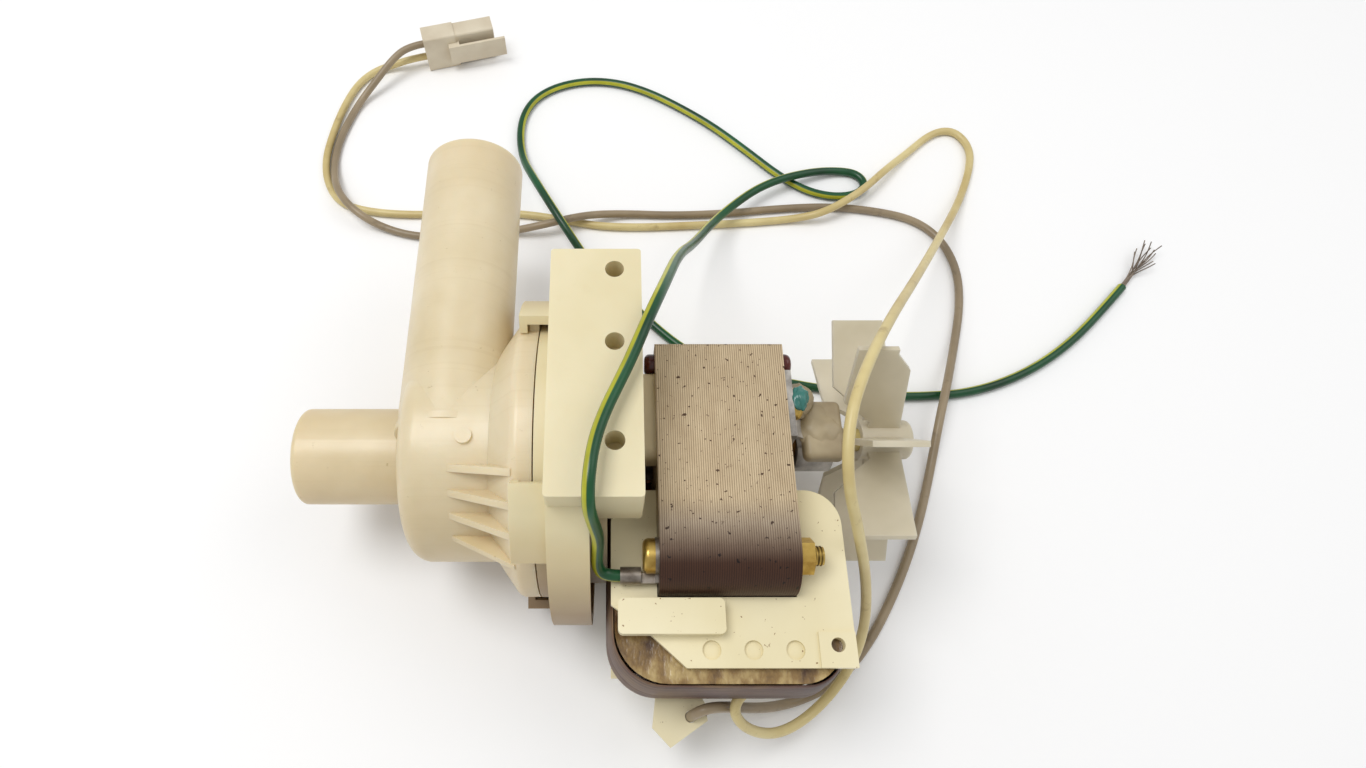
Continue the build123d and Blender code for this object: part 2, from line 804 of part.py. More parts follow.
# Impeller on the far end of the shaft
impeller_r = 17.5
impeller_hub_r = 5.0
impeller_disc = 1.6
impeller_end = 51.0
impeller_start = 31.0
vane_count = 6
vane_thickness = 1.6
vane_curve = 14.0
vane_start = 34.0
vane_tip_shares = (0.86, 0.45)
with BuildPart() as impeller:
    with BuildSketch(shaft_plane(impeller_end - impeller_disc)):
        Circle(impeller_r)
    extrude(amount=impeller_disc)
    with BuildSketch(shaft_plane(impeller_start)):
        Circle(impeller_hub_r)
    extrude(amount=impeller_end - impeller_start)
    fillet(edges().filter_by(GeomType.CIRCLE).group_by(Axis.X)[0], rim_round)
    with BuildSketch(shaft_plane(vane_start)) as vanes:
        with BuildLine():
            tip = [impeller_r * share for share in vane_tip_shares]
            vane = RadiusArc((impeller_hub_r - over, 0), tip, -vane_curve)
        trace(line_width=vane_thickness)
    with BuildSketch(shaft_plane(vane_start)):
        with PolarLocations(0, vane_count):
            add(vanes.sketch_local)
        Circle(impeller_r, mode=Mode.INTERSECT)
    extrude(amount=impeller_end - vane_start)
    with BuildSketch(shaft_plane(shaft_start)):
        Circle(shaft_r)
    extrude(amount=impeller_end, mode=Mode.SUBTRACT)
save(impeller.part, "impeller")

# Fan
fan_r = 30.5
fan_hub_r = 5.0
fan_hub_start = 139.5
fan_blades = 8
fan_turn = 22.3
blade_thickness = 1.4
blade_root_start = 141.0
blade_step_r = 13.5
blade_low_r = 7.0
blade_end_flare = 4.6
blade_corner = 1.5
clipped_blade = 1
clip_length = 3.2
clip_height = 6.6
sleeve_r = 2.9
sleeve_start = rear_bush_end + end_play
with BuildPart() as fan:
    with BuildSketch(shaft_plane(fan_hub_start)):
        Circle(fan_hub_r)
    extrude(amount=fan_hub_end - fan_hub_start)
    fillet(edges().filter_by(GeomType.CIRCLE).group_by(Axis.X)[-1], rim_round)
    for i in range(fan_blades):
        with BuildSketch(radial_plane(shaft_y, fan_turn + i * 360 / fan_blades)):
            Polygon(
                (blade_root_start, shaft_r),
                (blade_root_start, blade_low_r),
                (fan_start, blade_step_r),
                (fan_start, fan_r),
                (fan_end, fan_r),
                (fan_end + blade_end_flare - rim_round, shaft_r),
                align=None,
            )
            if i == clipped_blade:
                Polygon(
                    (fan_end - clip_length, fan_r + over),
                    (fan_end + over, fan_r + over),
                    (fan_end + over, fan_r - clip_height),
                    (fan_end - clip_length, fan_r - blade_corner),
                    align=None,
                    mode=Mode.SUBTRACT,
                )
        extrude(amount=blade_thickness / 2, both=True)
    with BuildSketch(shaft_plane(fan_hub_start - over)):
        Circle(shaft_r)
    extrude(amount=shaft_end - fan_hub_start + over, mode=Mode.SUBTRACT)
save(fan.part, "fan")
fan_sleeve = tube_piece(shaft_plane(sleeve_start), sleeve_r, shaft_r, fan_hub_start - sleeve_start)
save(fan_sleeve, "fan_sleeve")

# Glue on the near arm of the bridge, and lacquer on the head of its screw
glue_start = 119.8
glue_low = -9.5
glue_high = 5.2
glue_length = 9.6
glue_depth = 3.4
glue_round = 1.5
glue_height = 10.2
with BuildPart() as bearing_glue:
    with BuildSketch(level(glue_height)):
        with Locations((bridge_boss_start + glue_length / 2, (glue_low + glue_high) / 2)):
            RectangleRounded(glue_length, glue_high - glue_low, glue_round)
    extrude(amount=glue_depth)
    fillet(faces().sort_by(Axis.Z)[-1].edges(), glue_round)
    add(rear_bridge.part, mode=Mode.SUBTRACT)
save(bearing_glue.part, "bearing_glue")

# Earth terminal: a ring under the near clamp screw, with a bent tongue and the crimp barrel
terminal_ring_r = 4.0
terminal_tongue_low = 39.2
terminal_tongue_high = 37.0
barrel_r = 1.9
barrel_start = 78.7
barrel_end = 83.2
barrel_y = -37.5
barrel_z = 16.0
terminal_height = 2.0
with BuildPart() as earth_terminal:
    with BuildSketch(shaft_plane(stack_start - ring_tongue)):
        with Locations((clamp_y, clamp_z)):
            Circle(terminal_ring_r)
        Polygon(
            (clamp_y, clamp_z),
            (clamp_y, barrel_z - terminal_height / 2),
            (-terminal_tongue_low, barrel_z - terminal_height / 2),
            (-terminal_tongue_low, barrel_z + terminal_height / 2),
            align=None,
        )
        with Locations((clamp_y, clamp_z)):
            Circle(clamp_r, mode=Mode.SUBTRACT)
    extrude(amount=ring_tongue)
    with BuildSketch(level(barrel_z - ring_tongue / 2)):
        Polygon(
            (barrel_end - over, -terminal_tongue_high),
            (barrel_end - over, -terminal_tongue_low),
            (stack_start, -terminal_tongue_low),
            (stack_start, -terminal_tongue_high),
            align=None,
        )
    extrude(amount=ring_tongue)
    with BuildSketch(shaft_plane(barrel_start)):
        with Locations((barrel_y, barrel_z)):
            Circle(barrel_r)
    extrude(amount=barrel_end - barrel_start)
save(earth_terminal.part, "earth_terminal")

# Connector of the two winding leads, standing on its narrow side on the table
plug_turn = 15.0
plug_x = -67.5
plug_y = 159.3
plug_height = 14.0
plug_depth = 7.4
plug_back_length = 11.5
plug_front_length = 14.0
plug_step = 0.6
plug_round = 0.8
latch_start = 8.5
latch_length = 20.5
latch_height = 7.4
latch_gap = 1.2
latch_thickness = 1.0
latch_base = 4.0
yellow_height = 4.0
grey_height = 9.6
cavity_r = 1.5
contact_r = 1.2
contact_bore = 0.8
contact_inset = 1.0
contact_length = 12.0
plug_length = plug_back_length + plug_front_length
plug_frame = Plane(
    origin=(plug_x, plug_y, 0),
    x_dir=(-math.sin(math.radians(plug_turn)), math.cos(math.radians(plug_turn)), 0),
    z_dir=(math.cos(math.radians(plug_turn)), math.sin(math.radians(plug_turn)), 0),
)
with BuildPart() as connector_housing:
    with BuildSketch(plug_frame):
        with Locations((0, plug_height / 2)):
            RectangleRounded(plug_depth, plug_height, plug_round)
    extrude(amount=plug_back_length)
    with BuildSketch(plug_frame.offset(plug_back_length)):
        with Locations((plug_step / 2, plug_height / 2)):
            RectangleRounded(plug_depth - plug_step, plug_height - 2 * plug_step, plug_round)
    extrude(amount=plug_front_length)
    with BuildSketch(plug_frame.offset(latch_start)):
        with Locations((-plug_depth / 2 - latch_gap - latch_thickness / 2, plug_height / 2)):
            Rectangle(latch_thickness, latch_height)
    extrude(amount=latch_length)
    with BuildSketch(plug_frame.offset(latch_start)):
        with Locations((-(plug_depth + latch_gap) / 2, plug_height / 2)):
            Rectangle(latch_gap + 2 * plug_step, latch_height)
    extrude(amount=latch_base)
    for height in (yellow_height, grey_height):
        with BuildSketch(plug_frame.offset(contact_inset)):
            with Locations((0, height)):
                Circle(cavity_r)
        extrude(amount=plug_length, mode=Mode.SUBTRACT)
save(connector_housing.part, "connector_housing")
with BuildPart() as connector_contacts:
    for height in (yellow_height, grey_height):
        with BuildSketch(plug_frame.offset(contact_inset)):
            with Locations((0, height)):
                Circle(contact_r)
        extrude(amount=contact_length)
        with BuildSketch(plug_frame.offset(contact_length / 2)):
            with Locations((0, height)):
                Circle(contact_bore)
        extrude(amount=contact_length, mode=Mode.SUBTRACT)
save(connector_contacts.part, "connector_contacts")

# Routes of the leads, from the motor outward
yellow_route = (
    (35.0, -60.3, 25.2), (31.7, -61.7, 25.2), (29.2, -64.1, 25.0), (28.9, -66.7, 23.6),
    (31.2, -69.1, 20.2), (35.4, -70.5, 15.5), (40.2, -70.6, 11.5), (45.3, -69.0, 8.5),
    (50.5, -66.0, 6.6), (55.9, -61.4, 6.8), (61.2, -54.9, 9.0), (63.5, -46.7, 17.0),
    (60.7, -38.2, 32.0), (54.7, -30.8, 50.0), (49.3, -24.3, 64.0), (49.5, -12.9, 69.0),
    (54.3, -1.0, 68.5), (65.4, 17.1, 59.0), (85.2, 44.9, 33.0), (104.6, 73.3, 12.0),
    (119.3, 95.9, 1.3), (125.7, 111.0, 1.3), (126.6, 119.5, 1.3), (122.4, 126.4, 1.3),
    (114.6, 125.4, 1.3), (103.5, 115.3, 1.3), (95.0, 106.9, 4.2), (84.8, 96.4, 5.4),
    (71.8, 87.8, 5.4), (62.1, 88.0, 1.3), (45.2, 86.4, 1.3), (27.0, 85.4, 1.3),
    (9.6, 84.6, 1.3), (-4.4, 85.2, 1.3), (-16.5, 88.0, 1.3), (-30.1, 90.3, 1.3),
    (-46.9, 90.6, 1.3), (-63.8, 89.7, 1.3), (-75.6, 90.3, 1.3), (-85.3, 92.1, 1.3),
    (-92.2, 95.5, 1.3), (-96.9, 103.1, 1.3), (-99.0, 113.0, 1.3), (-98.3, 123.3, 1.3),
    (-96.2, 136.3, 1.3), (-92.3, 148.3, 1.3), (-86.4, 154.9, 1.3), (-79.5, 156.7, 2.4),
    (-73.3, 157.75, 4.0), (-67.5, 159.3, 4.0),
)
grey_route = (
    (19.2, -67.05, 17.4), (19.2, -67.05, 20.9), (20.4, -66.3, 23.7), (23.4, -65.3, 24.4),
    (28.6, -65.0, 20.2), (36.6, -64.9, 11.0), (43.9, -63.9, 3.4), (50.3, -62.1, 1.3),
    (56.2, -59.6, 1.3), (62.4, -55.4, 1.3), (69.5, -47.6, 1.3), (75.9, -38.0, 1.3),
    (82.3, -26.7, 1.3), (88.3, -13.4, 1.3), (93.5, 0.9, 1.3), (96.3, 13.0, 5.8),
    (100.6, 24.6, 5.8), (107.0, 39.4, 1.3), (111.8, 54.8, 1.3), (113.3, 68.6, 1.3),
    (109.8, 80.4, 1.3), (102.0, 88.0, 1.3), (89.1, 91.5, 1.3), (74.1, 93.2, 1.3),
    (57.1, 92.3, 1.3), (39.4, 90.3, 1.3), (21.1, 89.5, 1.3), (3.6, 90.3, 1.3),
    (-8.7, 86.6, 5.4), (-22.1, 82.6, 5.4), (-33.7, 82.8, 1.3), (-50.2, 80.4, 1.3),
    (-64.5, 81.0, 1.3), (-74.9, 84.2, 1.3), (-83.1, 87.0, 5.4), (-91.3, 96.0, 5.4),
    (-95.6, 109.5, 1.3), (-95.6, 119.7, 1.3), (-93.7, 129.0, 1.3), (-90.4, 139.6, 1.3),
    (-84.1, 146.3, 5.2), (-78.6, 153.0, 8.2), (-73.3, 157.75, 9.6), (-67.5, 159.3, 9.6),
)
green_route = (
    (2.45, -39.75, 47.2), (-0.9, -39.75, 47.2), (-2.6, -38.2, 49.6), (-2.4, -36.2, 55.5),
    (-2.1, -34.8, 62.0), (-3.2, -33.4, 68.5), (-4.0, -32.0, 75.0), (-3.8, -26.6, 77.8),
    (-2.8, -19.4, 77.0), (-0.7, -12.9, 76.3), (2.0, -6.9, 76.1), (4.6, -1.3, 76.4),
    (8.2, 7.6, 77.0), (12.6, 20.5, 70.5), (17.7, 40.8, 51.0), (24.6, 60.8, 26.0),
    (32.6, 79.0, 11.0), (40.8, 89.1, 7.5), (49.6, 97.2, 5.8), (59.1, 101.9, 5.6),
    (70.3, 106.4, 3.2), (79.2, 108.2, 1.4), (85.4, 107.0, 1.4), (88.0, 102.6, 1.4),
    (85.4, 98.8, 1.4), (80.0, 97.2, 1.4), (73.2, 97.6, 1.4), (66.0, 100.4, 1.4),
    (57.6, 106.9, 1.4), (47.3, 117.8, 1.4), (36.6, 128.3, 1.4), (25.5, 136.9, 1.4),
    (14.1, 144.3, 1.4), (2.5, 148.9, 1.4), (-9.3, 149.6, 1.4), (-20.6, 146.2, 1.4),
    (-28.4, 139.5, 1.4), (-31.9, 128.7, 1.4), (-30.6, 114.1, 1.4), (-24.7, 98.0, 9.2),
    (-14.1, 78.8, 9.2), (-6.4, 70.2, 1.4), (3.1, 59.5, 1.4), (14.4, 46.6, 1.4),
    (25.0, 37.2, 1.4), (38.0, 31.7, 1.4), (52.6, 27.7, 1.4), (68.4, 24.7, 1.4),
    (83.6, 22.9, 1.4), (96.9, 23.0, 1.4), (108.0, 24.0, 1.4), (119.8, 27.4, 1.4),
    (131.8, 33.1, 1.4), (143.5, 41.1, 1.4), (154.8, 51.2, 1.4), (165.0, 61.4, 1.4),
)
arc_share = 0.45
strand_r = 0.9
strand_ends = ((165.0, 61.4, 1.4), (172.5, 68.9, 1.4), (181.0, 79.5, 3.0))


def lead_tube(route, wire_r, name):
    points = [Vector(*point) for point in route]
    runs = [after - before for before, after in zip(points, points[1:])]
    radii = []
    for arriving, leaving in zip(runs, runs[1:]):
        half_turn = math.radians(arriving.get_angle(leaving)) / 2
        radii.append(arc_share * min(arriving.length, leaving.length) / math.tan(half_turn))
    with BuildPart() as made:
        with BuildLine():
            path = FilletPolyline(*points, radius=radii)
        with BuildSketch(Plane(origin=path @ 0, z_dir=path % 0)):
            Circle(wire_r)
        sweep()
    expected = math.pi * wire_r**2 * path.length
    print(name, "length", round(path.length, 1), "volume share", round(made.part.volume / expected, 4))
    print(name, "radii", [round(radius, 1) for radius in radii])
    return made.part


yellow_tube = lead_tube(yellow_route, lead_r, "yellow_lead")
with BuildPart() as yellow_lead:
    add(yellow_tube)
    # The lead comes out of the face of the tape
    with BuildSketch(shaft_plane(bobbin_start)):
        with Locations((-(winding_low + tape_thickness), 0)):
            Rectangle(winding_side, 2 * winding_reach, align=(Align.MIN, Align.CENTER))
    extrude(amount=bobbin_width, mode=Mode.SUBTRACT)
save(yellow_lead.part, "yellow_lead")
grey_lead = lead_tube(grey_route, lead_r, "grey_lead")
save(grey_lead, "grey_lead")
earth_lead = lead_tube(green_route, earth_r, "earth_lead")
save(earth_lead, "earth_lead")
earth_strands = lead_tube(strand_ends, strand_r, "earth_strands")
save(earth_strands, "earth_strands")
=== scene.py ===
import bmesh
import bpy
import math
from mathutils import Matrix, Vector, noise


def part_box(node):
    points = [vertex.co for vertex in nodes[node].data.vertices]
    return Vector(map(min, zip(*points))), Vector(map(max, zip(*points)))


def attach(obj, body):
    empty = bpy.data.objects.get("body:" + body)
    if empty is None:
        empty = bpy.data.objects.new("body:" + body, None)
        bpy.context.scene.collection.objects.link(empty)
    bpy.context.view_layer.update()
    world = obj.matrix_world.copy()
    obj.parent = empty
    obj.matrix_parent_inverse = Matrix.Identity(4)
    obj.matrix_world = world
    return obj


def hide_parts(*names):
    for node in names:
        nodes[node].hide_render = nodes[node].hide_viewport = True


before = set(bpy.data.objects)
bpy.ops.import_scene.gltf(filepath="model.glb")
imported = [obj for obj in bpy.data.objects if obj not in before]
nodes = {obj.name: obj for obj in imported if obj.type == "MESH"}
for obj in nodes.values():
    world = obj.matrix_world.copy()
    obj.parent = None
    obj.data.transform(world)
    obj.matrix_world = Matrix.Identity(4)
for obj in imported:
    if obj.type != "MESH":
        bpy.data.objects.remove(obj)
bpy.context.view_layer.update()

MM = 0.001
SHAFT_Y = -2.25 * MM
CLAMP_SCREW_Y = SHAFT_Y - 33.8 * MM
CLAMP_SCREW_HEIGHTS = (49.8 * MM, 12.6 * MM)

# The photograph's camera, solved from the pump: columns and focal length in pixels, rise in degrees.
PHOTO_WIDTH = 1366
AXIS_COLUMN = 610
FOCAL_LENGTH = 800
SENSOR_WIDTH = 36.0
CAMERA_RISE = 65.4

LAMINATION = 0.5 * MM
WIRE_PITCH = 0.4 * MM

# How far the coil's tape swells, by the share of its height.
COIL_SWELL = ((0.08, 0.35), (0.2, 0.7), (0.35, 0.93), (0.5, 1.0), (0.65, 0.93), (0.8, 0.7), (0.92, 0.35))
COIL_NEAR_LEFT_RADIUS = 0.0115
COIL_NEAR_RIGHT_RADIUS = 0.009
COIL_FAR_RADIUS = 0.005

# The folded tape on the coil's end: its far corners, the width of a fold and each fold's drop in millimetres.
FOLDED_FAR_RADIUS = 0.0095
FOLD_WIDTH = 1.45 * MM
FOLD_DROPS = (-0.35, 0.3, -0.4, 0.25, -0.3, 0.2)


def tint(red, green, blue):
    """A colour as seen on a screen, in the renderer's own scale."""
    return tuple(((c + 0.055) / 1.055) ** 2.4 for c in (red, green, blue)) + (1.0,)


def camera():
    """The photograph was taken from above the near side, with a wide lens."""
    data = bpy.data.cameras.new("photo_camera")
    data.sensor_width = SENSOR_WIDTH
    data.lens = SENSOR_WIDTH * FOCAL_LENGTH / PHOTO_WIDTH
    data.shift_x = (PHOTO_WIDTH / 2 - AXIS_COLUMN) / PHOTO_WIDTH
    data.clip_start = 0.01
    eye = bpy.data.objects.new("photo_camera", data)
    bpy.context.scene.collection.objects.link(eye)
    eye.location = (0.25 * MM, -74.25 * MM, 222.6 * MM)
    eye.rotation_euler = (math.radians(90 - CAMERA_RISE), 0, 0)
    bpy.context.scene.camera = eye


def lamp(name, place, size, power):
    """A soft square light that points at the pump."""
    data = bpy.data.lights.new(name, "AREA")
    data.size = size
    data.energy = power
    light = bpy.data.objects.new(name, data)
    bpy.context.scene.collection.objects.link(light)
    light.location = place
    light.rotation_euler = Vector(place).to_track_quat("Z", "Y").to_euler()


def studio():
    """Plain pale table, a bright sky and two soft lights."""
    world = bpy.data.worlds.new("studio_sky")
    world.use_nodes = True
    world.node_tree.nodes["Background"].inputs["Color"].default_value = (1, 1, 1, 1)
    world.node_tree.nodes["Background"].inputs["Strength"].default_value = 0.57
    bpy.context.scene.world = world
    lamp("key_light", (-0.3, 0.1, 0.8), size=0.4, power=3.3)
    lamp("fill_light", (0.5, 0.2, 0.6), size=0.5, power=0.9)
    bpy.ops.object.select_all(action="DESELECT")
    bpy.ops.mesh.primitive_plane_add(size=6.0, location=(0, 0, 0))
    table = bpy.context.object
    table.name = "table_top"
    top = bpy.data.materials.new("pale_table")
    top.use_nodes = True
    shader = top.node_tree.nodes["Principled BSDF"]
    shader.inputs["Base Color"].default_value = (0.97, 0.97, 0.97, 1)
    shader.inputs["Roughness"].default_value = 0.7
    table.data.materials.append(top)
    bpy.context.scene.view_settings.view_transform = "Standard"


class Finish:
    """A material under construction: its nodes and the links between them."""

    def __init__(self, name):
        self.material = bpy.data.materials.new(name)
        self.material.use_nodes = True
        self.tree = self.material.node_tree
        self.shader = self.tree.nodes["Principled BSDF"]
        self.place = self.add("ShaderNodeTexCoord").outputs["Object"]

    def add(self, kind, **settings):
        node = self.tree.nodes.new(kind)
        for key, value in settings.items():
            setattr(node, key, value)
        return node

    def link(self, source, target):
        self.tree.links.new(source, target)

    def set(self, **values):
        for key, value in values.items():
            self.shader.inputs[key.replace("_", " ")].default_value = value
        return self

    def stretch(self, x, y, z):
        """Object coordinates, squeezed or drawn out along each axis."""
        mapping = self.add("ShaderNodeMapping")
        mapping.inputs["Scale"].default_value = (x, y, z)
        self.link(self.place, mapping.inputs["Vector"])
        return mapping.outputs["Vector"]

    def axes(self, source=None):
        """The three coordinates of a place, each on its own."""
        split = self.add("ShaderNodeSeparateXYZ")
        self.link(source or self.place, split.inputs["Vector"])
        return split.outputs["X"], split.outputs["Y"], split.outputs["Z"]

    def span(self, value, low, high):
        """Nothing at a low value, and one at a high value."""
        node = self.add("ShaderNodeMapRange")
        node.inputs["From Min"].default_value = low
        node.inputs["From Max"].default_value = high
        self.link(value, node.inputs["Value"])
        return node.outputs["Result"]

    def wave(self, coordinate, pitch):
        """A sine along a coordinate, with one wave to each pitch."""
        turns = self.add("ShaderNodeMath", operation="MULTIPLY")
        turns.inputs[1].default_value = 2 * math.pi / pitch
        self.link(coordinate, turns.inputs[0])
        sine = self.add("ShaderNodeMath", operation="SINE")
        self.link(turns.outputs[0], sine.inputs[0])
        return sine.outputs[0]

    def noise(self, scale, detail=4.0, rough=0.55, source=None):
        node = self.add("ShaderNodeTexNoise")
        node.inputs["Scale"].default_value = scale
        node.inputs["Detail"].default_value = detail
        node.inputs["Roughness"].default_value = rough
        self.link(source or self.place, node.inputs["Vector"])
        return node.outputs["Fac"]

    def ramp(self, factor, *stops):
        node = self.add("ShaderNodeValToRGB")
        ramp = node.color_ramp
        while len(ramp.elements) < len(stops):
            ramp.elements.new(0.5)
        for element, (position, colour) in zip(ramp.elements, stops):
            element.position = position
            element.color = colour
        self.link(factor, node.inputs["Fac"])
        return node.outputs["Color"]

    def mix(self, factor, first, second, blend="MIX"):
        """Mixes two colours. The node has sockets for numbers and vectors too, hence the places."""
        node = self.add("ShaderNodeMix", data_type="RGBA", blend_type=blend)
        for place, value in ((0, factor), (6, first), (7, second)):
            if isinstance(value, bpy.types.NodeSocket):
                self.link(value, node.inputs[place])
            else:
                node.inputs[place].default_value = value
        return node.outputs[2]

    def multiply(self, first, second):
        return self.mix(1.0, first, second, "MULTIPLY")

    def low_shade(self, base, shades, low, high):
        """Darkens a colour toward the table: painted shade."""
        height = self.axes()[2]
        return self.multiply(base, self.ramp(self.span(height, low, high), *shades))

    def colour(self, source):
        self.link(source, self.shader.inputs["Base Color"])
        return self

    def roughness(self, factor, low, high):
        node = self.add("ShaderNodeMapRange")
        node.inputs["To Min"].default_value = low
        node.inputs["To Max"].default_value = high
        self.link(factor, node.inputs["Value"])
        self.link(node.outputs["Result"], self.shader.inputs["Roughness"])
        return self

    def bump(self, height, distance, strength=1.0):
        node = self.add("ShaderNodeBump")
        node.inputs["Distance"].default_value = distance
        node.inputs["Strength"].default_value = strength
        self.link(height, node.inputs["Height"])
        self.link(node.outputs["Normal"], self.shader.inputs["Normal"])
        return self


BLACK = (0, 0, 0, 1)
WHITE = (1, 1, 1, 1)


def milky_plastic():
    """Volute housing: milky, slightly translucent, with faint scuffs, moulding rings and painted shade toward the
    table.
    """
    f = Finish("milky_plastic")
    cloud = f.noise(28)
    base = f.ramp(cloud, (0.3, tint(0.83, 0.76, 0.61)), (0.7, tint(0.91, 0.85, 0.73)))
    # Painted shade: the housing darkens toward the table.
    shades = ((0.0, tint(0.74, 0.68, 0.56)), (0.5, tint(0.92, 0.89, 0.82)), (1.0, WHITE))
    base = f.low_shade(base, shades, low=0.004, high=0.052)
    rings = f.ramp(f.noise(30, 3, 0.6, f.stretch(0.3, 30, 0.3)), (0.55, WHITE), (0.7, tint(0.985, 0.98, 0.97)))
    base = f.multiply(base, rings)
    scuffs = f.ramp(f.noise(420, 6, 0.7), (0.66, BLACK), (0.72, WHITE))
    f.colour(f.mix(scuffs, base, f.multiply(base, tint(0.87, 0.84, 0.78))))
    f.roughness(f.noise(160), 0.26, 0.42)
    f.bump(f.noise(300), 0.00012, 0.5)
    f.set(Subsurface_Weight=0.35, Subsurface_Radius=(0.006, 0.0045, 0.003), Subsurface_Scale=1.0)
    return f.material


def cream_plastic():
    """Bracket: cream and matte, with a few stains, and painted shade toward the table."""
    f = Finish("cream_plastic")
    base = f.ramp(f.noise(22), (0.3, tint(0.87, 0.82, 0.66)), (0.7, tint(0.93, 0.89, 0.76)))
    # Painted shade: the bracket darkens toward the table.
    shades = ((0.0, tint(0.56, 0.49, 0.46)), (0.62, tint(0.74, 0.67, 0.62)), (0.93, tint(0.95, 0.93, 0.9)),
              (1.0, WHITE))
    base = f.low_shade(base, shades, low=0.002, high=0.062)
    stains = f.ramp(f.noise(75, 5, 0.6), (0.6, BLACK), (0.78, tint(0.45, 0.45, 0.45)))
    f.colour(f.mix(stains, base, tint(0.78, 0.7, 0.5)))
    f.roughness(f.noise(120), 0.38, 0.55)
    f.bump(f.noise(500), 0.00008, 0.4)
    f.set(Subsurface_Weight=0.12, Subsurface_Radius=(0.003, 0.002, 0.0012), Subsurface_Scale=1.0)
    return f.material


def bobbin_plastic():
    """Bobbin: cream, with brown specks."""
    f = Finish("bobbin_plastic")
    base = f.ramp(f.noise(30), (0.3, tint(0.88, 0.83, 0.66)), (0.7, tint(0.93, 0.89, 0.75)))
    specks = f.ramp(f.noise(900, 2, 0.5), (0.72, BLACK), (0.76, WHITE))
    f.colour(f.mix(specks, base, tint(0.55, 0.42, 0.25)))
    f.roughness(f.noise(90), 0.35, 0.55)
    f.bump(f.noise(450), 0.00008, 0.4)
    return f.material


def stack_steel():
    """Stator stack: sixty laminations, with specks and blots of rust, and painted shade on its rounded near side."""
    f = Finish("stack_steel")
    across, depth, _ = f.axes()
    edge = f.span(f.wave(across, LAMINATION), -1.0, 1.0)
    grooves = f.ramp(edge, (0.0, tint(0.58, 0.5, 0.4)), (0.35, tint(0.75, 0.67, 0.54)), (1.0, tint(0.82, 0.75, 0.62)))
    streaks = f.noise(90, 6, 0.7, f.stretch(3, 1, 1))
    base = f.multiply(grooves, f.ramp(streaks, (0.3, tint(0.9, 0.88, 0.86)), (0.7, WHITE)))
    blots = f.ramp(f.noise(190, 7, 0.75), (0.64, BLACK), (0.68, tint(0.8, 0.8, 0.8)))
    dots = f.ramp(f.noise(850, 2, 0.5), (0.66, BLACK), (0.7, WHITE))
    rusty = f.mix(blots, base, tint(0.4, 0.3, 0.2))
    spotted = f.mix(dots, rusty, tint(0.3, 0.21, 0.13))
    # Painted shade: darker toward the rounded near side of the stack.
    painted_near_shade = f.ramp(f.span(depth, -0.0445, -0.0245), (0.0, tint(0.36, 0.24, 0.2)), (0.3, tint(0.38, 0.27, 0.23)),
                    (0.48, tint(0.55, 0.5, 0.5)), (0.72, tint(0.82, 0.82, 0.86)), (1.0, WHITE))
    f.colour(f.multiply(spotted, painted_near_shade))
    f.roughness(f.noise(200), 0.4, 0.62)
    f.bump(edge, 0.00006, 0.5)
    f.set(Metallic=0.35)
    return f.material


def plain_metal(name, dark, light, low, high, metallic):
    """A bare or plated metal with a cloudy tone and fine scratches."""
    f = Finish(name)
    f.colour(f.ramp(f.noise(160, 5, 0.6), (0.3, dark), (0.7, light)))
    f.roughness(f.noise(600, 4, 0.6), low, high)
    f.bump(f.noise(900, 3, 0.5), 0.00005, 0.4)
    f.set(Metallic=metallic)
    return f.material


def plain_plastic(name, dark, light, low, high):
    """A moulded plastic or rubber with a cloudy tone and a fine skin."""
    f = Finish(name)
    f.colour(f.ramp(f.noise(45, 4, 0.55), (0.3, dark), (0.7, light)))
    f.roughness(f.noise(200, 4, 0.6), low, high)
    f.bump(f.noise(600, 3, 0.5), 0.00006, 0.4)
    return f.material


def coil_tape():
    """Tape round the winding: matte, mauve-brown, with wrap lines and golden patches."""
    f = Finish("coil_tape")
    base = f.ramp(f.noise(40, 5, 0.6), (0.3, tint(0.3, 0.21, 0.18)), (0.55, tint(0.42, 0.31, 0.26)),
                  (0.75, tint(0.6, 0.5, 0.36)))
    lines = f.ramp(f.noise(120, 3, 0.5, f.stretch(0.3, 0.3, 14)), (0.42, tint(0.75, 0.72, 0.7)), (0.6, WHITE))
    f.colour(f.multiply(base, lines))
    f.roughness(f.noise(80), 0.42, 0.62)
    f.bump(f.noise(70, 4, 0.55), 0.0008, 0.7)
    f.set(Coat_Weight=0.05, Coat_Roughness=0.3, Specular_IOR_Level=0.3)
    return f.material


def amber_tape():
    """Clear tape aged to amber, in creased layers, darker where the creases sink."""
    f = Finish("amber_tape")
    layers = f.noise(240, 4, 0.6, f.stretch(1, 0.5, 1))
    f.colour(f.ramp(layers, (0.32, tint(0.3, 0.2, 0.11)), (0.5, tint(0.54, 0.43, 0.25)),
                    (0.68, tint(0.76, 0.67, 0.46))))
    f.roughness(f.noise(150), 0.16, 0.35)
    f.bump(layers, 0.0006, 0.8)
    f.set(Coat_Weight=0.3, Coat_Roughness=0.15)
    return f.material


def wound_copper():
    """Enamelled copper wire, turn on turn."""
    f = Finish("wound_copper")
    f.colour(f.ramp(f.noise(90), (0.3, tint(0.5, 0.27, 0.16)), (0.7, tint(0.74, 0.44, 0.27))))
    f.roughness(f.noise(300), 0.2, 0.35)
    f.bump(f.wave(f.axes()[2], WIRE_PITCH), 0.0001, 0.8)
    f.set(Metallic=0.8)
    return f.material


def fan_plastic():
    """Fan: white plastic that lets some light through."""
    f = Finish("fan_plastic")
    f.colour(f.ramp(f.noise(35), (0.3, tint(0.8, 0.76, 0.66)), (0.7, tint(0.9, 0.86, 0.77))))
    f.roughness(f.noise(150), 0.3, 0.45)
    f.bump(f.noise(350), 0.0001, 0.4)
    f.set(Transmission_Weight=0.12, Subsurface_Weight=0.3, Subsurface_Radius=(0.004, 0.004, 0.0035),
          Subsurface_Scale=1.0)
    return f.material


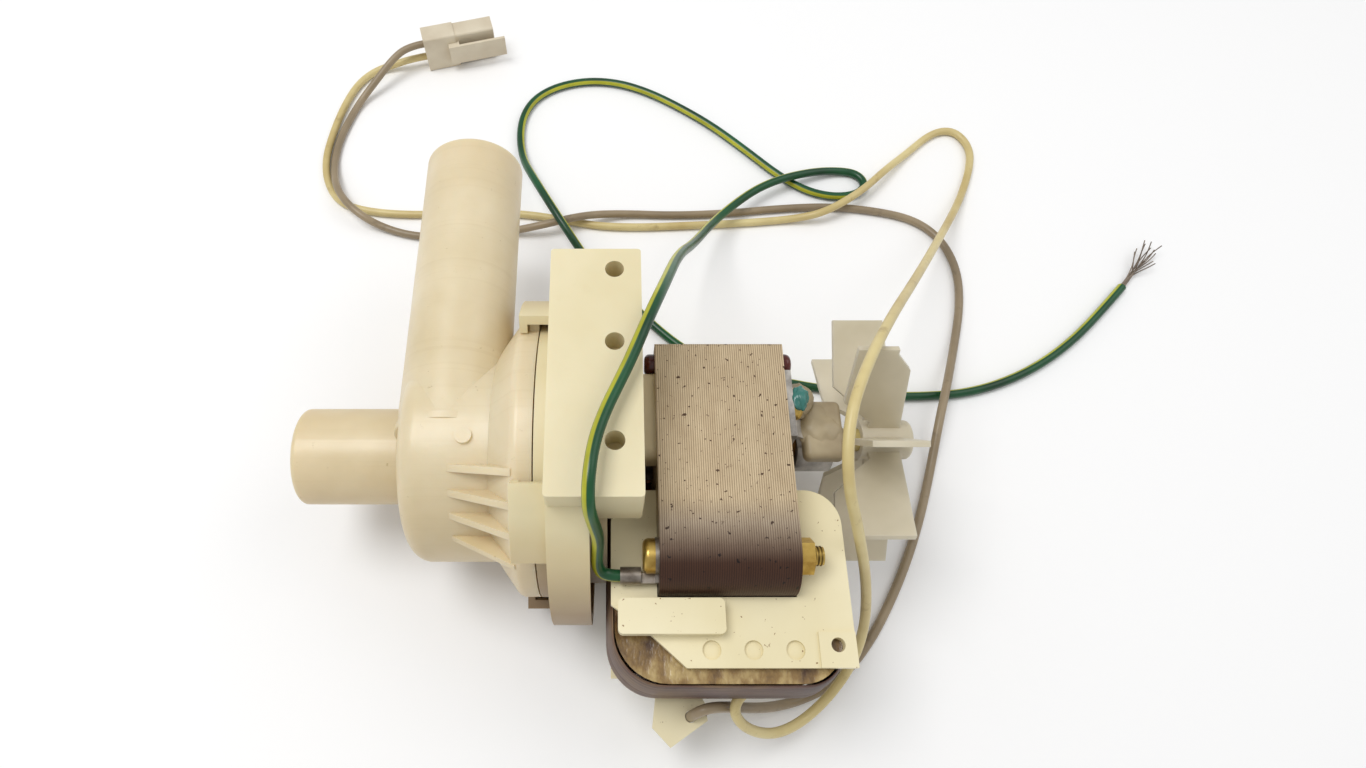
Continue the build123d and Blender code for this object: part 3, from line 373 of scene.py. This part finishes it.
def insulation(name, dark, light, dirt):
    """Insulation of a lead: smooth and slightly glossy, with handling dirt."""
    f = Finish(name)
    base = f.ramp(f.noise(35, 4, 0.6), (0.3, dark), (0.7, light))
    grime = f.ramp(f.noise(170, 6, 0.7), (0.58, BLACK), (0.72, tint(0.7, 0.7, 0.7)))
    f.colour(f.mix(grime, base, dirt))
    f.roughness(f.noise(220), 0.28, 0.45)
    f.bump(f.noise(500), 0.00006, 0.4)
    return f.material


def striped_insulation():
    """Earth lead: dark green, with a yellow stripe that runs along the surface."""
    f = Finish("striped_insulation")
    around = f.axes(f.add("ShaderNodeTexCoord").outputs["UV"])[1]
    stripe = f.ramp(around, (0.0, BLACK), (0.82, BLACK), (0.85, WHITE), (0.97, WHITE), (1.0, BLACK))
    green = f.ramp(f.noise(60), (0.3, tint(0.02, 0.2, 0.1)), (0.7, tint(0.06, 0.34, 0.18)))
    yellow = f.ramp(f.noise(90), (0.3, tint(0.6, 0.6, 0.1)), (0.7, tint(0.74, 0.74, 0.2)))
    f.colour(f.mix(stripe, green, yellow))
    f.roughness(f.noise(220), 0.25, 0.4)
    f.bump(f.noise(500), 0.00005, 0.4)
    return f.material


def dress_nodes():
    """Gives every CAD node but the leads, strands, tape and winding its finish.

    The numbers after the two colours are the least and most roughness and, in a metal, its share of metal.
    """
    cream = cream_plastic()
    milky = milky_plastic()
    zinc = plain_metal("yellow_zinc", tint(0.6, 0.46, 0.2), tint(0.86, 0.74, 0.42), 0.22, 0.4, 0.9)
    steel = plain_metal("ground_steel", tint(0.5, 0.48, 0.46), tint(0.75, 0.73, 0.7), 0.25, 0.4, 0.9)
    stack = stack_steel()
    copper = plain_metal("copper", tint(0.6, 0.33, 0.2), tint(0.8, 0.5, 0.32), 0.25, 0.4, 0.9)
    tinned = plain_metal("tinned_metal", tint(0.42, 0.38, 0.34), tint(0.72, 0.69, 0.65), 0.3, 0.5, 0.8)
    rubber = plain_plastic("black_rubber", tint(0.06, 0.06, 0.06), tint(0.13, 0.12, 0.12), 0.5, 0.7)
    finishes = {
        "volute_housing": milky,
        "pump_bracket": cream,
        "housing_seal_ring": rubber,
        "shaft_seal": rubber,
        "stator_stack": stack,
        "coil_core": stack,
        "shading_rings": copper,
        "bobbin": bobbin_plastic(),
        "shaft": steel,
        "rotor_core": stack,
        "rotor_end_rings": plain_metal(
            "cast_aluminium", tint(0.6, 0.6, 0.6), tint(0.8, 0.8, 0.8), 0.35, 0.5, 0.9),
        "bearing_bushes": plain_metal(
            "sintered_bronze", tint(0.5, 0.36, 0.2), tint(0.7, 0.52, 0.3), 0.4, 0.6, 0.9),
        "thrust_washers": plain_plastic(
            "washer_plastic", tint(0.15, 0.13, 0.12), tint(0.25, 0.22, 0.2), 0.4, 0.6),
        "rear_bridge": plain_metal(
            "bridge_metal", tint(0.42, 0.4, 0.38), tint(0.82, 0.8, 0.77), 0.35, 0.6, 0.7),
        "motor_screws": zinc,
        "clamp_screws": zinc,
        "clamp_nuts": zinc,
        "stack_rivets": plain_plastic(
            "rivet_lacquer", tint(0.2, 0.07, 0.06), tint(0.36, 0.14, 0.11), 0.12, 0.25),
        "impeller": plain_plastic(
            "impeller_plastic", tint(0.8, 0.78, 0.72), tint(0.88, 0.87, 0.83), 0.4, 0.55),
        "fan": fan_plastic(),
        "fan_sleeve": plain_plastic(
            "sleeve_plastic", tint(0.68, 0.6, 0.36), tint(0.82, 0.76, 0.5), 0.25, 0.4),
        "bearing_glue": plain_plastic(
            "set_glue", tint(0.48, 0.41, 0.3), tint(0.76, 0.7, 0.57), 0.3, 0.5),
        "earth_terminal": tinned,
        "connector_housing": plain_plastic(
            "connector_plastic", tint(0.76, 0.7, 0.6), tint(0.88, 0.84, 0.75), 0.35, 0.5),
        "connector_contacts": tinned,
    }
    for name, material in finishes.items():
        slots = nodes[name].data.materials
        slots.clear()
        slots.append(material)


def lead(name, route, width, material):
    """One smooth curve through the air and along the table, made a tube."""
    data = bpy.data.curves.new(name, "CURVE")
    data.dimensions = "3D"
    data.bevel_depth = width / 2
    data.bevel_resolution = 6
    data.resolution_u = 6
    data.use_fill_caps = True
    spline = data.splines.new("NURBS")
    spline.points.add(len(route) - 1)
    for point, (x, y, z) in zip(spline.points, route):
        point.co = (x, y, z, 1)
    spline.order_u = 3
    spline.use_endpoint_u = True
    data.materials.append(material)
    piece = bpy.data.objects.new(name, data)
    bpy.context.scene.collection.objects.link(piece)
    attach(piece, "pump_body")
    return piece


def metres(route):
    """A route that is written in millimetres, in the scene's metres."""
    return [(x * MM, y * MM, z * MM) for x, y, z in route]


# The middle line of each lead in millimetres, from the pump to its free end. Where the lead lies on the table,
# this line is a little over half its width up.
YELLOW_ROUTE = metres((
    (35.0, -60.3, 25.2), (31.7, -61.7, 25.2), (29.2, -64.1, 25.0), (28.9, -66.7, 23.6),
    (31.2, -69.1, 20.2), (35.4, -70.5, 15.5), (40.2, -70.6, 11.5), (45.3, -69.0, 8.5),
    (50.5, -66.0, 6.6), (55.9, -61.4, 6.8), (61.2, -54.9, 9.0), (63.5, -46.7, 17.0),
    (60.7, -38.2, 32.0), (54.7, -30.8, 50.0), (49.3, -24.3, 64.0), (49.5, -12.9, 69.0),
    (54.3, -1.0, 68.5), (65.4, 17.1, 59.0), (85.2, 44.9, 33.0), (104.6, 73.3, 12.0),
    (119.3, 95.9, 1.3), (125.7, 111.0, 1.3), (126.6, 119.5, 1.3), (122.4, 126.4, 1.3),
    (114.6, 125.4, 1.3), (103.5, 115.3, 1.3), (95.0, 106.9, 4.2), (84.8, 96.4, 5.4),
    (71.8, 87.8, 5.4), (62.1, 88.0, 1.3), (45.2, 86.4, 1.3), (27.0, 85.4, 1.3),
    (9.6, 84.6, 1.3), (-4.4, 85.2, 1.3), (-16.5, 88.0, 1.3), (-30.1, 90.3, 1.3),
    (-46.9, 90.6, 1.3), (-63.8, 89.7, 1.3), (-75.6, 90.3, 1.3), (-85.3, 92.1, 1.3),
    (-92.2, 95.5, 1.3), (-96.9, 103.1, 1.3), (-99.0, 113.0, 1.3), (-98.3, 123.3, 1.3),
    (-96.2, 136.3, 1.3), (-92.3, 148.3, 1.3), (-86.4, 154.9, 1.3), (-79.5, 156.7, 2.4),
    (-73.3, 157.75, 4.0), (-67.5, 159.3, 4.0),
))
GREY_ROUTE = metres((
    (19.2, -67.05, 17.4), (19.2, -67.05, 20.9), (20.4, -66.3, 23.7), (23.4, -65.3, 24.4),
    (28.6, -65.0, 20.2), (36.6, -64.9, 11.0), (43.9, -63.9, 3.4), (50.3, -62.1, 1.3),
    (56.2, -59.6, 1.3), (62.4, -55.4, 1.3), (69.5, -47.6, 1.3), (75.9, -38.0, 1.3),
    (82.3, -26.7, 1.3), (88.3, -13.4, 1.3), (93.5, 0.9, 1.3), (96.3, 13.0, 5.8),
    (100.6, 24.6, 5.8), (107.0, 39.4, 1.3), (111.8, 54.8, 1.3), (113.3, 68.6, 1.3),
    (109.8, 80.4, 1.3), (102.0, 88.0, 1.3), (89.1, 91.5, 1.3), (74.1, 93.2, 1.3),
    (57.1, 92.3, 1.3), (39.4, 90.3, 1.3), (21.1, 89.5, 1.3), (3.6, 90.3, 1.3),
    (-8.7, 86.6, 5.4), (-22.1, 82.6, 5.4), (-33.7, 82.8, 1.3), (-50.2, 80.4, 1.3),
    (-64.5, 81.0, 1.3), (-74.9, 84.2, 1.3), (-83.1, 87.0, 5.4), (-91.3, 96.0, 5.4),
    (-95.6, 109.5, 1.3), (-95.6, 119.7, 1.3), (-93.7, 129.0, 1.3), (-90.4, 139.6, 1.3),
    (-84.1, 146.3, 5.2), (-78.6, 153.0, 8.2), (-73.3, 157.75, 9.6), (-67.5, 159.3, 9.6),
))
EARTH_ROUTE = metres((
    (2.45, -39.75, 47.2), (-0.9, -39.75, 47.2), (-2.6, -38.2, 49.6), (-2.4, -36.2, 55.5),
    (-2.1, -34.8, 62.0), (-3.2, -33.4, 68.5), (-4.0, -32.0, 75.0), (-3.8, -26.6, 77.8),
    (-2.8, -19.4, 77.0), (-0.7, -12.9, 76.3), (2.0, -6.9, 76.1), (4.6, -1.3, 76.4),
    (8.2, 7.6, 77.0), (12.6, 20.5, 70.5), (17.7, 40.8, 51.0), (24.6, 60.8, 26.0),
    (32.6, 79.0, 11.0), (40.8, 89.1, 7.5), (49.6, 97.2, 5.8), (59.1, 101.9, 5.6),
    (70.3, 106.4, 3.2), (79.2, 108.2, 1.4), (85.4, 107.0, 1.4), (88.0, 102.6, 1.4),
    (85.4, 98.8, 1.4), (80.0, 97.2, 1.4), (73.2, 97.6, 1.4), (66.0, 100.4, 1.4),
    (57.6, 106.9, 1.4), (47.3, 117.8, 1.4), (36.6, 128.3, 1.4), (25.5, 136.9, 1.4),
    (14.1, 144.3, 1.4), (2.5, 148.9, 1.4), (-9.3, 149.6, 1.4), (-20.6, 146.2, 1.4),
    (-28.4, 139.5, 1.4), (-31.9, 128.7, 1.4), (-30.6, 114.1, 1.4), (-24.7, 98.0, 9.2),
    (-14.1, 78.8, 9.2), (-6.4, 70.2, 1.4), (3.1, 59.5, 1.4), (14.4, 46.6, 1.4),
    (25.0, 37.2, 1.4), (38.0, 31.7, 1.4), (52.6, 27.7, 1.4), (68.4, 24.7, 1.4),
    (83.6, 22.9, 1.4), (96.9, 23.0, 1.4), (108.0, 24.0, 1.4), (119.8, 27.4, 1.4),
    (131.8, 33.1, 1.4), (143.5, 41.1, 1.4), (154.8, 51.2, 1.4), (165.0, 61.4, 1.4),
))


def leads(strand_piece):
    """The two leads of the winding run to the connector, and the earth lead ends in bare strands."""
    pale = insulation("yellow_insulation", tint(0.74, 0.65, 0.42), tint(0.88, 0.82, 0.6), tint(0.52, 0.41, 0.25))
    grey = insulation("grey_insulation", tint(0.5, 0.44, 0.35), tint(0.64, 0.57, 0.46), tint(0.33, 0.28, 0.22))
    yellow_lead = lead("yellow_wire", YELLOW_ROUTE, width=2.5 * MM, material=pale)
    grey_lead = lead("grey_wire", GREY_ROUTE, width=2.5 * MM, material=grey)
    earth_lead = lead("earth_wire", EARTH_ROUTE, width=2.7 * MM, material=striped_insulation())
    for wire, node in ((yellow_lead, "yellow_lead"), (grey_lead, "grey_lead"), (earth_lead, "earth_lead")):
        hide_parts(node)


def clear():
    """Selects nothing."""
    bpy.ops.object.select_all(action="DESELECT")


def edit(piece, kind="FACE"):
    """Opens a piece for shaping with nothing selected, and gives its mesh."""
    clear()
    piece.select_set(True)
    bpy.context.view_layer.objects.active = piece
    bpy.ops.object.mode_set(mode="EDIT")
    bpy.ops.mesh.select_mode(type=kind)
    bpy.ops.mesh.select_all(action="DESELECT")
    return bmesh.from_edit_mesh(piece.data)


def pick(mesh, parts, test):
    """Selects the faces, edges or vertices that pass a test of their place."""
    for part in parts:
        if test(part):
            part.select_set(True)
    mesh.select_flush_mode()


def middle(edge):
    """The place halfway along an edge."""
    return (edge.verts[0].co + edge.verts[1].co) / 2


def finish(piece, name, material, smooth=35):
    """Closes the shaping: transforms and modifiers applied, smooth shading, name, finish, slot and body."""
    if bpy.context.mode != "OBJECT":
        bpy.ops.object.mode_set(mode="OBJECT")
    clear()
    piece.select_set(True)
    bpy.context.view_layer.objects.active = piece
    bpy.ops.object.transform_apply(location=True, rotation=True, scale=True)
    for modifier in list(piece.modifiers):
        bpy.ops.object.modifier_apply(modifier=modifier.name)
    bpy.ops.object.shade_smooth_by_angle(angle=math.radians(smooth))
    piece.name = name
    piece.data.name = name
    piece.data.materials.clear()
    piece.data.materials.append(material)
    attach(piece, "pump_body")
    return piece


def coil_block(low, high, far_radius):
    """A block with the coil's rounded outline, the start of each of its bands."""
    clear()
    bpy.ops.mesh.primitive_cube_add(size=1, location=(low + high) / 2, scale=high - low)
    block = bpy.context.object
    bpy.ops.object.transform_apply(location=True, rotation=True, scale=True)
    corners = ((low.x, low.y, COIL_NEAR_LEFT_RADIUS), (high.x, low.y, COIL_NEAR_RIGHT_RADIUS),
               (low.x, high.y, far_radius), (high.x, high.y, far_radius))
    reach = MM / 5
    for x, y, radius in corners:
        mesh = edit(block, "EDGE")
        pick(mesh, mesh.edges, lambda e: abs(middle(e).x - x) < reach and abs(middle(e).y - y) < reach)
        bpy.ops.mesh.bevel(offset=radius, segments=10, profile=0.5, affect="EDGES")
        bpy.ops.object.mode_set(mode="OBJECT")
    return block


def coil_cover(low, high):
    """Layers of clear tape folded over the end of the coil, seen in the cut of the flange."""
    cover = coil_block(low, high, FOLDED_FAR_RADIUS)
    mesh = edit(cover)
    pick(mesh, mesh.faces, lambda f: f.normal.z < 0.9)
    bpy.ops.mesh.delete(type="FACE")
    bpy.ops.mesh.select_all(action="SELECT")
    for drop in FOLD_DROPS:
        bpy.ops.mesh.inset(thickness=FOLD_WIDTH, depth=drop * MM)
    bpy.ops.mesh.delete(type="FACE")
    bpy.ops.object.mode_set(mode="OBJECT")
    sheet = cover.modifiers.new("thickness", "SOLIDIFY")
    sheet.thickness = 0.2 * MM
    sheet.offset = -1
    return cover


def coil_band(low, high, wall, bulge):
    """An open band with the coil's rounded outline, swollen at half its height."""
    centre = (low + high) / 2
    levels = [(low.z + share * (high.z - low.z), bulge * swell) for share, swell in COIL_SWELL]
    band = coil_block(low, high, COIL_FAR_RADIUS)
    mesh = edit(band)
    pick(mesh, mesh.faces, lambda f: abs(f.normal.z) > 0.9)
    bpy.ops.mesh.delete(type="ONLY_FACE")
    for height, _ in levels:
        bpy.ops.mesh.select_all(action="SELECT")
        bpy.ops.mesh.bisect(plane_co=(0, 0, height), plane_no=(0, 0, 1))
    for height, swell in levels:
        bpy.ops.mesh.select_mode(type="VERT")
        bpy.ops.mesh.select_all(action="DESELECT")
        mesh = bmesh.from_edit_mesh(band.data)
        pick(mesh, mesh.verts, lambda v: abs(v.co.z - height) < MM / 20)
        grow_x = 1 + 2 * swell / (high.x - low.x)
        grow_y = 1 + 2 * swell / (high.y - low.y)
        bpy.ops.transform.resize(value=(grow_x, grow_y, 1), center_override=centre)
    bpy.ops.object.mode_set(mode="OBJECT")
    shell = band.modifiers.new("wall", "SOLIDIFY")
    shell.thickness = wall
    shell.offset = -1
    shell.use_even_offset = True
    round_off = band.modifiers.new("soft", "SUBSURF")
    round_off.levels = round_off.render_levels = 1
    return band


def coil_wrap():
    """Copper turns on the bobbin, the tape around them with its loose last turn, and the folded tape on the end."""
    low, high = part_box("tape_wrap")
    tape = coil_tape()
    wrap = coil_band(low, high, wall=0.5 * MM, bulge=1.1 * MM)
    finish(wrap, "tape_body", tape)
    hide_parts("tape_wrap")
    step = Vector((0.0007, 0.0007, 0))
    foot = Vector((0, 0, 0.0015))
    head = Vector((0, 0, 0.0095))
    last = coil_band(low - step + foot, high + step - head, wall=0.35 * MM, bulge=0.7 * MM)
    finish(last, "tape_last_turn", tape)
    cover = coil_cover(low + Vector((0.0006, 0.0006, 0)), high - Vector((0.0006, 0.0006, 0.0001)))
    finish(cover, "tape_folded_end", amber_tape(), smooth=50)
    low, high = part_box("winding")
    inset = Vector((0.0006, 0.0006, 0.0009))
    turns = coil_band(low + inset, high - inset, wall=5 * MM, bulge=0.4 * MM)
    finish(turns, "copper_turns", wound_copper())
    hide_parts("winding")


def strands():
    """Bare strands of the earth lead, twisted at the cut and splayed at their tips."""
    start = Vector((164.7, 61.1, 1.5)) * MM
    along = Vector((0.68, 0.73, 0.02)).normalized()
    side = Vector((-along.y, along.x, 0))
    up = Vector((0, 0, 1))
    data = bpy.data.curves.new("earth_wire_strands", "CURVE")
    data.dimensions = "3D"
    data.bevel_depth = 0.17 * MM
    data.bevel_resolution = 2
    data.resolution_u = 4
    data.use_fill_caps = True
    ends = (
        (15.5, -1.9, 0.4), (18.5, -0.5, 1.6), (21.5, 0.9, 0.9), (19.5, 2.6, 1.9), (16.0, 3.3, 0.8), (21.0, -1.2, 2.2),
        (17.0, 1.5, 3.0), (14.0, -3.0, 1.6), (19.0, -2.2, 0.2), (13.0, 2.9, 2.2), (20.3, 1.9, 0.0),
    )
    steps = 6
    whole_twist = 2.6
    bundle_r = 0.62 * MM
    splay_start = 0.35
    for i, (far, across, rise) in enumerate(ends):
        spline = data.splines.new("NURBS")
        spline.points.add(steps)
        turn = 2 * math.pi * i / len(ends)
        for k, point in enumerate(spline.points):
            share = k / steps
            twist = turn + whole_twist * share
            pack_r = bundle_r * (1 - 0.25 * math.sin(math.pi * share))
            loose = max(0.0, share - splay_start) / (1 - splay_start)
            wave = 0.8 * math.sin(5 * share + i) * share
            place = start + along * (far * share * MM)
            place += side * (pack_r * math.cos(twist) * (1 - loose) + (across * loose + wave * loose) * MM)
            place += up * (pack_r * math.sin(twist) * (1 - loose) + rise * loose * MM)
            place.z = max(place.z, 0.3 * MM)
            point.co = (*place, 1)
        spline.order_u = 3
        spline.use_endpoint_u = True
    metal = plain_metal("strand_tin", tint(0.3, 0.26, 0.22), tint(0.66, 0.6, 0.54), 0.25, 0.45, 0.8)
    data.materials.append(metal)
    piece = bpy.data.objects.new("earth_wire_strands", data)
    bpy.context.scene.collection.objects.link(piece)
    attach(piece, "pump_body")
    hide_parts("earth_strands")
    return piece


def thread_rings():
    """Thread crests on the end of each clamp screw, past its nut."""
    nut_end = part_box("clamp_nuts")[1].x
    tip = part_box("clamp_screws")[1].x
    pitch = 0.7 * MM
    dark = plain_metal("thread_zinc", tint(0.2, 0.17, 0.1), tint(0.55, 0.45, 0.22), 0.3, 0.5, 0.85)
    for number, height in enumerate(CLAMP_SCREW_HEIGHTS):
        x = nut_end + 0.35 * MM
        count = 0
        while x < tip - 0.3 * MM:
            clear()
            bpy.ops.mesh.primitive_torus_add(
                major_radius=1.95 * MM, minor_radius=0.24 * MM, major_segments=40, minor_segments=8,
                location=(x, CLAMP_SCREW_Y, height), rotation=(0, math.radians(90), 0))
            ring = bpy.context.object
            bpy.ops.object.transform_apply(location=True, rotation=True, scale=True)
            mesh = edit(ring, "VERT")
            pick(mesh, mesh.verts, lambda v: True)
            bpy.ops.transform.resize(value=(0.9, 1, 1), center_override=(x, CLAMP_SCREW_Y, height))
            finish(ring, f"thread_crest_{number}_{count}", dark)
            x += pitch
            count += 1


def lacquer_drop(name, place, size, material, seed):
    """An uneven set drop: a ball pressed flat and pushed about."""
    clear()
    bpy.ops.mesh.primitive_ico_sphere_add(subdivisions=4, radius=1, location=(0, 0, 0))
    drop = bpy.context.object
    mesh = edit(drop, "VERT")
    for vertex in mesh.verts:
        push = noise.noise(vertex.co * 1.3 + Vector((seed, seed / 2, 0)))
        fine = noise.noise(vertex.co * 3.7 + Vector((seed, 0, seed)))
        vertex.co *= 1 + 0.3 * push + 0.12 * fine
        vertex.co = Vector(along * (half * MM) for along, half in zip(vertex.co, size)) + Vector(place) * MM
    bmesh.update_edit_mesh(drop.data)
    finish(drop, name, material, smooth=70)


def lacquers():
    """Teal lacquer on the bridge screw and grey glue run down the bridge arm."""
    teal = plain_plastic("teal_lacquer", tint(0.1, 0.3, 0.3), tint(0.25, 0.5, 0.46), 0.1, 0.25)
    screw_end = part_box("motor_screws")[1].x / MM
    lacquer_drop("lacquer_on_screw", (screw_end - 1.0, -0.4, 53.2), (1.9, 3.0, 1.5), teal, seed=3.0)
    grey = plain_plastic("bridge_glue", tint(0.46, 0.39, 0.28), tint(0.77, 0.71, 0.58), 0.25, 0.5)
    lacquer_drop("glue_on_bridge", (50.6, -4.0, 42.6), (5.6, 6.8, 3.0), grey, seed=7.0)
    lacquer_drop("glue_run", (45.6, 2.2, 45.4), (3.4, 4.4, 2.6), grey, seed=11.0)


camera()
studio()
dress_nodes()
leads(strands())
coil_wrap()
thread_rings()
lacquers()

bpy.context.view_layer.update()
